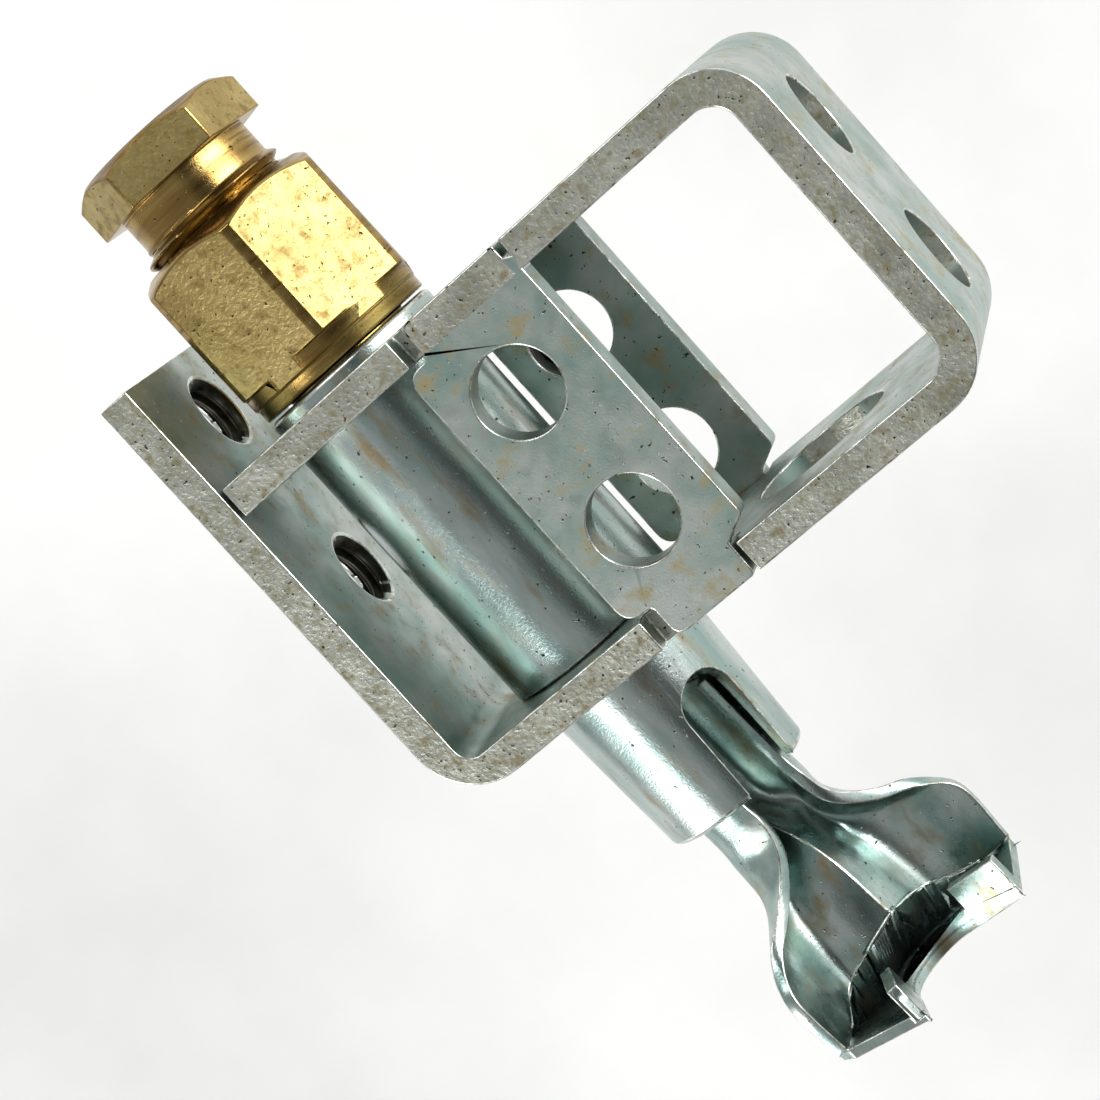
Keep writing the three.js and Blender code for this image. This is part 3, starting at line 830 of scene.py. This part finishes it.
    def build(self) -> bpy.types.Object:
        """Builds the bracket and dresses it."""
        t, top, bottom, half = self.thickness, self.top, self.bottom, self.half
        piece = self.strip()
        combined(piece, self.reliefs(1) + self.reliefs(-1), Operation.CUT)
        combined(piece, [self.tab(half - t), self.tab(-half)], Operation.ADD)
        cutters = [
            self.along(self.tube_axis, self.tube_hole, top - t - OVER, top + OVER),
            self.along(self.tube_axis, self.sleeve_hole, bottom - OVER, bottom + t + OVER),
            self.along(*self.sensor, bottom - OVER, top + OVER),
        ]
        for y in self.end_holes:
            cutters.append(self.across(self.end_hole_radius, y, self.high.x - t - OVER, self.high.x + OVER))
        for y in self.tab_holes:
            x, radius = self.tab_hole_x, self.tab_hole_radius
            outline = [(x + radius * math.cos(a), y + radius * math.sin(a)) for a in self.angles()]
            cutters.append(prism("drill", outline, -half - OVER, half + OVER, Matrix()))
        for side in (-0.5, 0.5):
            cutters += self.tapped_hole(side * self.tapped_spacing)
        combined(piece, cutters, Operation.CUT)
        piece.name = "bracket_strip"
        finishes = (ZINC_ROLLED, ZINC_SHEARED, ZINC_THREAD, ZINC_CORNER_HIGHLIGHT)
        dress(piece, Body.BURNER, "mounting_bracket", finishes, self.region, 0.13)
        return piece

    def region(self, middle: Vector, normal: Vector) -> int:
        """The number of the finish for a face: rolled, sheared or inside a tapped hole."""
        for side in (-0.5, 0.5):
            out = math.hypot(middle.y - side * self.tapped_spacing, middle.z)
            if out < self.tapped.root + self.tapped.height and middle.x < self.thickness:
                return 2
        flat_tab = self.tab_x[0] < middle.x < self.tab_x[1] and self.bottom + 3 < middle.y < self.top - 3
        return 1 if abs(normal.z) > 0.9 and not flat_tab else 0


# ------------------------------------------------------------------ tube and hood


def facing(degrees: float, axis_x: float) -> Matrix:
    """Takes u, v and s to the frame, with v facing the given angle from Z to X."""
    angle = math.radians(degrees)
    right = Vector((math.cos(angle), 0, -math.sin(angle)))
    front = Vector((math.sin(angle), 0, math.cos(angle)))
    away = Vector((0, -1, 0))
    place = Matrix((right, front, away)).transposed().to_4x4()
    return Matrix.Translation((axis_x, 0, 0)) @ place


@dataclass
class BurnerTube:
    """The tube: a barrel between the flanges, then a tapered sleeve with a slot."""

    low: Vector = field(default_factory=lambda: extent("burner_tube")[0])
    high: Vector = field(default_factory=lambda: extent("burner_tube")[1])
    shoulder: float = -19.5
    sleeve_radius: float = 5.97
    taper_start: float = -21.85
    end_radius: float = 5.42
    socket_radius: float = 4.8
    socket_floor: float = -7.0
    throat_radius: float = 2.5
    throat_cone: float = 1.2
    throat_end: float = -25.9
    hood_bore: float = 4.4
    chamfer: float = 0.25
    slot_facing: float = 45.0
    slot_half_width: float = 2.13
    slot_apex: float = 25.0

    @property
    def axis_x(self) -> float:
        """Where the burner axis stands."""
        return (self.low.x + self.high.x) / 2

    def build(self) -> bpy.types.Object:
        """Builds the tube and dresses it."""
        radius = (self.high.x - self.low.x) / 2
        top, end, cut = self.high.y, self.low.y, self.chamfer
        profile = [
            (self.socket_radius, top),
            (self.socket_radius, self.socket_floor),
            (self.throat_radius, self.socket_floor - self.throat_cone),
            (self.throat_radius, self.throat_end),
            (self.hood_bore, self.throat_end),
            (self.hood_bore, end),
            (self.end_radius - cut, end),
            (self.end_radius, end + cut),
            (self.sleeve_radius, self.taper_start),
            (self.sleeve_radius, self.shoulder),
            (radius, self.shoulder),
            (radius, top - cut),
            (radius - cut, top),
        ]
        piece = turned("tube_barrel", profile, self.axis_x, 2 * FINE)
        half = self.slot_half_width
        outline = arc(0, self.slot_apex + half, half, 180, 360)
        outline += [(half, OVER - end), (-half, OVER - end)]
        swap = Matrix(((1, 0, 0, 0), (0, 0, 1, 0), (0, 1, 0, 0), (0, 0, 0, 1)))
        place = facing(self.slot_facing, self.axis_x) @ swap
        combined(piece, [prism("slot", outline, half, half + radius, place)], Operation.CUT)
        finishes = (ZINC_TUBE, ZINC_CORNER_HIGHLIGHT)
        dress(piece, Body.BURNER, "burner_tube", finishes, lambda middle, normal: 0, 0.1)
        return piece


STEM = ((0, -3.0), (2.1, -2.15), (3.0, 0), (2.6, 1.5), (1.6, 2.55))
WING = (9.3, 3.9)  # u and v of a wing's front corner

# Half sections of the hood's inner face: s, then u and v of the middle, the panel, the valley, the
# side and the front edge.
SECTIONS = (
    (26.3, STEM),
    (33.4, STEM),
    (35.0, ((0, -2.4), (1.9, -2.0), (3.0, -0.3), (2.6, 1.6), (1.6, 2.9))),
    (36.8, ((0, -0.2), (1.6, -1.2), (3.0, -0.8), (2.8, 1.2), (1.95, 2.95))),
    (38.1, ((0, 1.0), (1.4, 0.0), (3.0, -0.8), (3.4, 1.1), (2.7, 2.9))),
    (40.1, ((0, 2.0), (1.6, 1.0), (3.3, 0.0), (4.8, 1.2), (5.05, 2.9))),
    (41.5, ((0, 2.4), (1.9, 1.35), (3.7, 0.1), (6.2, 1.5), (7.6, 3.1))),
    (43.3, ((0, 2.6), (2.1, 1.55), (4.1, 0.3), (6.8, 1.9), WING)),
    (45.5, ((0, 2.8), (2.3, 1.75), (4.5, 0.4), (6.9, 2.0), WING)),
)
DROP = (0, 0.55, 1.4, 2.5, 2.75)  # how far the lower edge drops below the last section


@dataclass
class FlameHood:
    """The flame hood: a rolled stem, spread wings with a ridge between them, a roof and lips."""

    axis_x: float
    facing: float = 45.0
    lean: float = 2.9
    lean_from: float = 32.0
    sheet: float = 0.8
    roof: float = 49.37
    roof_back: float = -0.8
    roof_fold: float = 5.0
    roof_slope: float = 0.3
    roof_back_corner: float = 6.6
    wing_back: float = 2.4
    tip: Point = (5.36, 7.28)
    notch_side: Point = (3.3, 4.0)
    notch_back: float = 1.7
    notch_bend: float = 0.7
    lip_top: float = 46.9
    low_lip_top: float = 48.6
    fold_half: float = 7.4
    rows: int = 110
    columns: int = 44  # across half of the face

    def face(self) -> list[list[Vector]]:
        """The inner face, as rows of points from its left edge to its right edge."""
        lines = []
        for k, drop in enumerate(DROP):
            line = [Vector((*half[k], s)) for s, half in SECTIONS]
            line[-1].z += drop
            lines.append(line)
        rows = []
        for row in range(self.rows + 1):
            half = [through(line, row / self.rows) for line in lines]
            points = []
            for column in range(-self.columns, self.columns + 1):
                point = through(half, abs(column) / self.columns)
                if column < 0:
                    point.x = -point.x
                points.append(point)
            rows.append(points)
        return rows

    def folded(self, face: list[list[Vector]]) -> list[list[Vector]]:
        """The face folded under from the lower edge, back and down to the roof's back edge."""
        edge = [point for point in face[-1] if abs(point.x) < self.fold_half]
        back = []
        for point in edge:
            u = max(-self.roof_back_corner, min(self.roof_back_corner, point.x))
            drop = self.roof_slope * max(0.0, abs(u) - self.roof_fold)
            back.append(Vector((u, self.roof_back, self.roof - drop + self.sheet / 2)))
        start = [point.lerp(far, -JOIN / 2) for point, far in zip(edge, back)]
        return [start, back]

    def shell(self, face: list[list[Vector]]) -> bpy.types.Object:
        """A sheet with the given inner face and, behind that, its outer face."""
        last_row, last_column = len(face) - 1, len(face[0]) - 1
        mesh = bmesh.new()
        inner = [[mesh.verts.new(p) for p in row] for row in face]
        outer = []
        for r, row in enumerate(face):
            line = []
            for c, point in enumerate(row):
                down = face[min(r + 1, last_row)][c] - face[max(r - 1, 0)][c]
                across = row[min(c + 1, last_column)] - row[max(c - 1, 0)]
                line.append(mesh.verts.new(point + across.cross(down).normalized() * self.sheet))
            outer.append(line)
        for grid in (inner, outer):
            for upper, lower in zip(grid, grid[1:]):
                for c in range(last_column):
                    mesh.faces.new((upper[c], upper[c + 1], lower[c + 1], lower[c]))
        for c in range(last_column):
            for r in (0, last_row):
                mesh.faces.new((inner[r][c], inner[r][c + 1], outer[r][c + 1], outer[r][c]))
        for r in range(last_row):
            for c in (0, last_column):
                mesh.faces.new((inner[r][c], inner[r + 1][c], outer[r + 1][c], outer[r][c]))
        return solid("hood_shell", mesh)

    def notch(self, outwards: float, side: int) -> list[Point]:
        """The notch's edge from one side to the other, moved outwards."""
        u = side * (self.notch_side[0] + outwards)
        v = self.notch_side[1]
        back = self.notch_back - outwards
        middle = Vector((0, back))
        first = curve(Vector((u, v)), Vector((u * self.notch_bend, back)), middle, 14)
        second = curve(middle, Vector((-u * self.notch_bend, back)), Vector((-u, v)), 14)
        return first + second[1:]

    def roof_parts(self) -> list[bpy.types.Object]:
        """The flat middle of the roof and the sloping flap at either side."""
        tip, sheet, roof = self.tip, self.sheet, self.roof
        middle = [(-self.roof_fold, self.roof_back), (self.roof_fold, self.roof_back), tip]
        middle += self.notch(0, 1)
        middle.append((-tip[0], tip[1]))
        parts = [prism("roof", middle, roof, roof + sheet, Matrix())]
        for side in (-1, 1):
            outline = [
                ((self.roof_fold - JOIN) * side, self.roof_back),
                (self.roof_back_corner * side, self.roof_back),
                (WING[0] * side, self.wing_back),
                (WING[0] * side, WING[1]),
                ((tip[0] - JOIN) * side, tip[1]),
            ]
            slope = Matrix()
            slope[2][0] = -self.roof_slope * side
            slope[2][3] = roof + self.roof_slope * self.roof_fold
            parts.append(prism("flap", outline, 0, sheet, slope))
        return parts

    def lips(self) -> list[bpy.types.Object]:
        """The lips around the notch: tall beside it and low behind it."""
        root = self.roof + self.sheet / 4
        low = self.notch(0, 1) + self.notch(self.sheet, -1)
        parts = [prism("low_lip", low, self.low_lip_top, root, Matrix())]
        start, end = Vector(self.notch_side), Vector(self.tip)
        along = end - start
        out = Vector((along.y, -along.x)).normalized() * self.sheet
        for side in (-1, 1):
            corners = [start, end, end + out, start + out]
            outline = [(side * p.x, p.y) for p in corners]
            parts.append(prism("tall_lip", outline, self.lip_top, root, Matrix()))
        return parts

    def build(self) -> bpy.types.Object:
        """Builds the hood and dresses it."""
        face = self.face()
        piece = self.shell(face)
        others = [self.shell(self.folded(face)), *self.roof_parts(), *self.lips()]
        combined(piece, others, Operation.ADD)
        piece.name = "hood_pressing"
        about = Matrix.Translation((0, 0, self.lean_from * MM))
        lean = about @ Matrix.Rotation(math.radians(self.lean), 4, "Y") @ about.inverted()
        place = facing(self.facing, self.axis_x)
        place.translation *= MM
        piece.data.transform(place @ lean)
        finishes = (ZINC_PRESSED, ZINC_CORNER_HIGHLIGHT)
        dress(piece, Body.BURNER, "flame_hood", finishes, lambda middle, normal: 0, 0.1)
        return piece


# ------------------------------------------------------------------ brass


@dataclass(frozen=True)
class HexHead:
    """A hexagon with its corners turned to a diameter and its outer end chamfered."""

    across_flats: float
    corner_diameter: float
    facing: float
    chamfer: float
    reach: float = 1.4  # how far the chamfer reaches in, per length of it
    foot: float = 0.0  # length over which the lower end is turned round
    foot_proud: float = 0.09  # how far the turned foot stands out from the flats

    def solid(self, name: str, axis_x: float, low: float, high: float) -> bpy.types.Object:
        """The hexagon between two heights."""
        circle = self.across_flats / math.sqrt(3)
        angles = [math.radians(self.facing + 30 + 60 * n) for n in range(6)]
        outline = [(axis_x + circle * math.cos(a), circle * math.sin(a)) for a in angles]
        place = Matrix(((1, 0, 0, 0), (0, 0, 1, 0), (0, 1, 0, 0), (0, 0, 0, 1)))
        bar = prism(name, outline, low, high, place)
        radius, cut = self.corner_diameter / 2, self.chamfer
        profile = [(0, low - OVER), (radius, low - OVER), (radius, high - cut)]
        if self.foot:
            narrow = self.across_flats / 2 + self.foot_proud
            step = low + self.foot
            profile[1:2] = [(narrow, low - OVER), (narrow, step), (radius, step)]
        profile += [(radius - self.reach * cut, high), (0, high)]
        return combined(bar, [turned("envelope", profile, axis_x, 2 * FINE)], Operation.KEEP)

    def region(self, middle: Vector, normal: Vector, axis_x: float) -> int:
        """The number of the finish for a face: drawn on the hexagon's flats, turned elsewhere."""
        out = Vector((middle.x - axis_x, middle.z))
        distance = out.dot(Vector((normal.x, normal.z)))
        on_flat = abs(normal.y) < 0.1 and abs(distance - self.across_flats / 2) < 0.05
        return 0 if on_flat else 1


@dataclass
class InletBody:
    """The brass inlet body: hexagon, skirt and spigot."""

    axis_x: float
    low: Vector = field(default_factory=lambda: extent("inlet_body")[0])
    high: Vector = field(default_factory=lambda: extent("inlet_body")[1])
    hexagon: HexHead = HexHead(13.2, corner_diameter=14.8, facing=43, chamfer=0.9, foot=0.95)
    skirt: tuple[float, float, float] = (6.5, 4.0, 4.95)  # radius, bottom, top
    spigot_radius: float = 4.6
    thread_bore: float = 5.75
    thread_floor: float = 7.9
    seat_radius: float = 4.45
    seat: Point = (5.9, 4.6)
    pipe_radius: float = 3.35
    pipe_stop: float = 1.5
    passage_radius: float = 2.1

    def build(self) -> bpy.types.Object:
        """Builds the body and dresses it."""
        top, end, x = self.high.y, self.low.y, self.axis_x
        radius, skirt_low, skirt_high = self.skirt
        piece = self.hexagon.solid("inlet_hexagon", x, skirt_high, top)
        spigot = [(0, end), (self.spigot_radius, end), (self.spigot_radius, skirt_low)]
        spigot += [(radius, skirt_low), (radius, skirt_high + JOIN), (0, skirt_high + JOIN)]
        combined(piece, [turned("spigot", spigot, x)], Operation.ADD)
        bore = [
            (0, top + OVER),
            (self.thread_bore, top + OVER),
            (self.thread_bore, self.thread_floor),
            (self.seat_radius, self.thread_floor),
            (self.seat_radius, self.seat[0]),
            (self.pipe_radius, self.seat[1]),
            (self.pipe_radius, self.pipe_stop),
            (self.passage_radius, self.pipe_stop),
            (self.passage_radius, end - OVER),
            (0, end - OVER),
        ]
        combined(piece, [turned("bore", bore, x)], Operation.CUT)
        finishes = (BRASS_DRAWN, BRASS_TURNED, BRASS_TURNED)
        region = partial(self.hexagon.region, axis_x=x)
        dress(piece, Body.BURNER, "inlet_body", finishes, region, 0.12)
        return piece


@dataclass
class CompressionNut:
    """The brass nut: hexagonal head, plain neck and threaded shank."""

    axis_x: float
    low: Vector = field(default_factory=lambda: extent("compression_nut")[0])
    high: Vector = field(default_factory=lambda: extent("compression_nut")[1])
    hexagon: HexHead = HexHead(across_flats=11.2, corner_diameter=12.8, facing=15, chamfer=0.75)
    thread: Thread = Thread(root=4.88, height=0.65, pitch=25.4 / 24)
    head_bottom: float = 19.05
    thread_top: float = 16.9
    bore_radius: float = 3.3
    bore_sink: float = 0.6

    def build(self) -> bpy.types.Object:
        """Builds the nut and dresses it."""
        top, end, x = self.high.y, self.low.y, self.axis_x
        piece = self.hexagon.solid("gas_nut", x, self.head_bottom, top)
        root = self.thread.root
        low, high = self.thread_top - JOIN, self.head_bottom + JOIN
        neck = turned("neck", [(0, low), (root, low), (root, high), (0, high)], x)
        shank = self.thread.rod("shank", x, end, self.thread_top)
        combined(piece, [neck, shank], Operation.ADD)
        sink = self.bore_radius + self.bore_sink + OVER
        bore = [(0, top + OVER), (sink, top + OVER), (self.bore_radius, top - self.bore_sink)]
        bore += [(self.bore_radius, end - OVER), (0, end - OVER)]
        combined(piece, [turned("bore", bore, x)], Operation.CUT)
        finishes = (BRASS_DRAWN, BRASS_TURNED, BRASS_TURNED)
        region = partial(self.hexagon.region, axis_x=x)
        dress(piece, Body.NUT, "compression_nut", finishes, region, 0.08)
        return piece


@dataclass
class InnerBrass:
    """The ferrule and the orifice spud, which lie inside the body and the tube."""

    axis_x: float

    def build(self) -> None:
        """Builds both pieces and dresses them."""
        low, high = extent("ferrule")
        radius, nose, bore = (high.x - low.x) / 2, 3.5, 3.25
        ring = [(bore, low.y), (nose, low.y), (radius, low.y + 1.15), (radius, high.y - 0.7)]
        ring += [(nose, high.y), (bore, high.y)]
        piece = turned("ferrule_ring", ring, self.axis_x)
        finishes = (BRASS_TURNED, BRASS_TURNED)
        dress(piece, Body.FERRULE, "ferrule", finishes, lambda middle, normal: 0, 0.05)
        low, high = extent("orifice_spud")
        radius, cone, chamber, floor, jet = (high.x - low.x) / 2, 1.2, 1.2, -10.9, 0.35
        tip, nose, head = 1.3, 2.2, -6.7
        spud = [(jet, low.y), (tip, low.y), (nose, low.y + cone), (nose, head - cone)]
        spud += [(radius, head), (radius, high.y), (chamber, high.y), (chamber, floor)]
        spud += [(jet, floor - 0.5)]
        piece = turned("gas_spud", spud, self.axis_x)
        dress(piece, Body.BURNER, "orifice_spud", finishes, lambda middle, normal: 0, 0.05)


# ------------------------------------------------------------------ studio


@dataclass
class Studio:
    """A pale floor, soft lights and the camera."""

    eye: tuple[float, float, float] = (71.184, 2.04, 172.841)  # the camera's place
    turns: tuple[float, float, float] = (0.091, -0.327, -0.018)  # about X, Y and Z, in radians
    roll: float = 41.5
    lens: float = 95.0
    below: float = 0.035  # how far the floor lies below the part, in metres
    # Brightness of the sky, by degrees from straight up towards the end wall, the same along Y.
    cards: tuple[Point, ...] = (
        (-100, 0.45),
        (-70, 0.6),
        (-30, 0.42),
        (8, 0.42),
        (16, 0.1),
        (52, 0.08),
        (60, 0.5),
        (68, 1.0),
        (88, 1.0),
        (100, 0.45),
    )

    def floor(self) -> None:
        """The pale floor, some way below the part."""
        low = CAD_BOX[0][2] - self.below
        mesh = bmesh.new()
        bmesh.ops.create_grid(mesh, x_segments=1, y_segments=1, size=3.0)
        data = bpy.data.meshes.new("floor")
        mesh.to_mesh(data)
        mesh.free()
        plane = bpy.data.objects.new("floor", data)
        plane.location = (0.02, 0.0, low)
        bpy.context.scene.collection.objects.link(plane)
        material, tree = new_material("matt white paper")
        place = add_node(tree, "ShaderNodeTexCoord").outputs["Object"]
        fibre = {"Vector": place, "Scale": per(12), "Detail": 4.0}
        cloud = add_node(tree, "ShaderNodeTexNoise", fibre).outputs["Fac"]
        stops = ((0.3, linear("#F4F4F2")), (0.7, linear("#FAFAF9")))
        tone = add_node(tree, "ShaderNodeValToRGB", {"Fac": cloud}, stops).outputs["Color"]
        shader = {"Base Color": tone, "Roughness": 0.9}
        skin = add_node(tree, "ShaderNodeBsdfPrincipled", shader).outputs["BSDF"]
        add_node(tree, "ShaderNodeOutputMaterial", {"Surface": skin})
        plane.data.materials.append(material)
        plane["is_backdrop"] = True

    def light(self, name: str, place: Vector, size: Point, watts: float) -> None:
        """A soft rectangular light that faces the part."""
        lamp = bpy.data.lights.new(name, "AREA")
        lamp.shape = "RECTANGLE"
        lamp.size, lamp.size_y = size
        lamp.energy = watts
        holder = bpy.data.objects.new(name, lamp)
        middle = (Vector(CAD_BOX[0]) + Vector(CAD_BOX[1])) / 2
        holder.location = middle + place
        holder.rotation_euler = (-place).to_track_quat("-Z", "Y").to_euler()
        bpy.context.scene.collection.objects.link(holder)

    def camera(self) -> None:
        """The camera, looking down on the part."""
        rx, ry, rz = self.turns
        view = (
            Matrix.Rotation(math.radians(self.roll), 3, "Z")
            @ Matrix.Rotation(rz, 3, "Z")
            @ Matrix.Rotation(ry, 3, "Y")
            @ Matrix.Rotation(rx, 3, "X")
        )
        data = bpy.data.cameras.new("camera")
        data.sensor_width = 36
        data.lens = self.lens
        data.clip_start = 0.01
        camera = bpy.data.objects.new("camera", data)
        camera.matrix_world = Matrix.Translation(Vector(self.eye) * MM) @ view.transposed().to_4x4()
        bpy.context.scene.collection.objects.link(camera)
        bpy.context.scene.camera = camera

    def sky(self) -> None:
        """Light from all round, with a dark stretch from 16 to 52 degrees and a bright one after it."""
        world = bpy.data.worlds.new("studio")
        world.use_nodes = True
        tree = world.node_tree
        tree.nodes.clear()
        way = add_node(tree, "ShaderNodeTexCoord").outputs["Generated"]
        parts = add_node(tree, "ShaderNodeSeparateXYZ", {"Vector": way}).outputs
        angle = add_node(
            tree, "ShaderNodeMath", {0: parts["X"], 1: parts["Z"]}, operation="ARCTAN2"
        ).outputs["Value"]
        spread = {"Value": angle, "From Min": -math.pi, "From Max": math.pi}
        share = add_node(tree, "ShaderNodeMapRange", spread).outputs["Result"]
        stops = [((d + 180) / 360, (level, level, level * 0.99, 1.0)) for d, level in self.cards]
        tone = add_node(tree, "ShaderNodeValToRGB", {"Fac": share}, stops).outputs["Color"]
        light = {"Color": tone, "Strength": 1.0}
        back = add_node(tree, "ShaderNodeBackground", light).outputs["Background"]
        add_node(tree, "ShaderNodeOutputWorld", {"Surface": back})
        bpy.context.scene.world = world

    def build(self) -> None:
        """Sets up floor, lights, sky and camera."""
        self.floor()
        self.camera()
        self.sky()
        self.light("key", Vector((0.6, 0.1, 0.22)), (0.3, 0.5), 4.2)
        self.light("fill", Vector((-0.5, -0.25, 0.35)), (0.15, 0.5), 2.0)
        self.light("top", Vector((-0.05, 0.55, 0.45)), (0.5, 0.15), 1.5)
        bpy.context.scene.view_settings.view_transform = "Standard"


def corners(box: Sequence) -> list[list[float]]:
    """A box's corners as plain lists."""
    return [[float(value) for value in corner] for corner in box]


def main() -> None:
    """Builds the studio and every piece of the burner."""
    logging.basicConfig(level=logging.INFO, format="%(message)s")
    Studio().build()
    tube = BurnerTube()
    tube.build()
    Bracket(tube_axis=tube.axis_x).build()
    FlameHood(axis_x=tube.axis_x).build()
    InletBody(axis_x=tube.axis_x).build()
    CompressionNut(axis_x=tube.axis_x).build()
    InnerBrass(axis_x=tube.axis_x).build()
    {"cad": corners(CAD_BOX), "visual": corners(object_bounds())}


if __name__ == "__main__":
    main()
